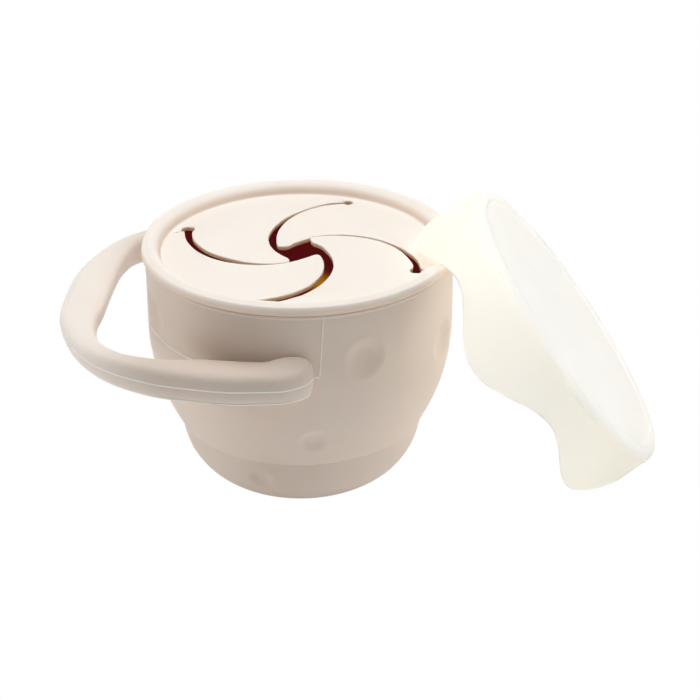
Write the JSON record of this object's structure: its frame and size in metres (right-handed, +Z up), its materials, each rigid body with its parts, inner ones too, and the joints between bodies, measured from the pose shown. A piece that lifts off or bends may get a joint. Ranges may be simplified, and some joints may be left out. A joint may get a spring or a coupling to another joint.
{
  "type": "collapsible snack cup",
  "caption": "Collapsible soft snack cup with a loop handle, a soft lid with curved petals that part for a hand, and a translucent cover with a scalloped skirt leaning beside it.",
  "frame": {"origin": "centre of the cup's flat foot, on the floor it stands on", "axes": "+Z up along the cup's axis; the loop handle reaches towards -X; the cover leans on the +X side; +Y away from the viewed front"},
  "size_m": [0.1923, 0.1198, 0.0965],
  "materials": {
    "cup_silicone": "matt, soft, pale pinkish beige",
    "lid_silicone": "matt, soft, warm white",
    "cover_plastic": "frosted, milky translucent"
  },
  "bodies": {
    "cup": {"cup_wall": "cup_silicone", "fold_web": "cup_silicone"},
    "base": {"base_bowl": "cup_silicone"},
    "handle": {"handle": "cup_silicone"},
    "lid": {"lid_ring": "lid_silicone"},
    "flap_1": {"flap_1": "lid_silicone"},
    "flap_2": {"flap_2": "lid_silicone"},
    "flap_3": {"flap_3": "lid_silicone"},
    "flap_4": {"flap_4": "lid_silicone"},
    "cover": {"cover": "cover_plastic"}
  },
  "joints": [
    {"name": "base_fold", "type": "slide", "parent": "cup", "child": "base", "axis": [0, 0, 1], "range_m": [0, 0.028], "deforming": ["fold_web"]},
    {"name": "handle_flex", "type": "hinge", "parent": "cup", "child": "handle", "pos_m": [-0.0025, 0, 0.0584], "axis": [0, 1, 0], "range_deg": [-30, 35], "stiffness_Nm_per_rad": 0.5},
    {"name": "lid_lift", "type": "slide", "parent": "cup", "child": "lid", "axis": [0, 0, 1], "range_m": [0, 0.035]},
    {"name": "flap_1_flex", "type": "hinge", "parent": "lid", "child": "flap_1", "pos_m": [-0.01284, 0.02724, 0.07735], "axis": [0.9046, 0.4263, 0], "range_deg": [-40, 65], "stiffness_Nm_per_rad": 0.02},
    {"name": "flap_2_flex", "type": "hinge", "parent": "lid", "child": "flap_2", "pos_m": [0.02724, 0.01284, 0.07735], "axis": [0.4263, -0.9046, 0], "range_deg": [-40, 65], "stiffness_Nm_per_rad": 0.02},
    {"name": "flap_3_flex", "type": "hinge", "parent": "lid", "child": "flap_3", "pos_m": [0.01284, -0.02724, 0.07735], "axis": [-0.9046, -0.4263, 0], "range_deg": [-40, 65], "stiffness_Nm_per_rad": 0.02},
    {"name": "flap_4_flex", "type": "hinge", "parent": "lid", "child": "flap_4", "pos_m": [-0.02724, -0.01284, 0.07735], "axis": [-0.4263, 0.9046, 0], "range_deg": [-40, 65], "stiffness_Nm_per_rad": 0.02},
    {"name": "cover_slide", "type": "slide", "parent": "lid", "child": "cover", "axis": [0.8067, 0, 0.591], "range_m": [0, 0.06]}
  ]
}
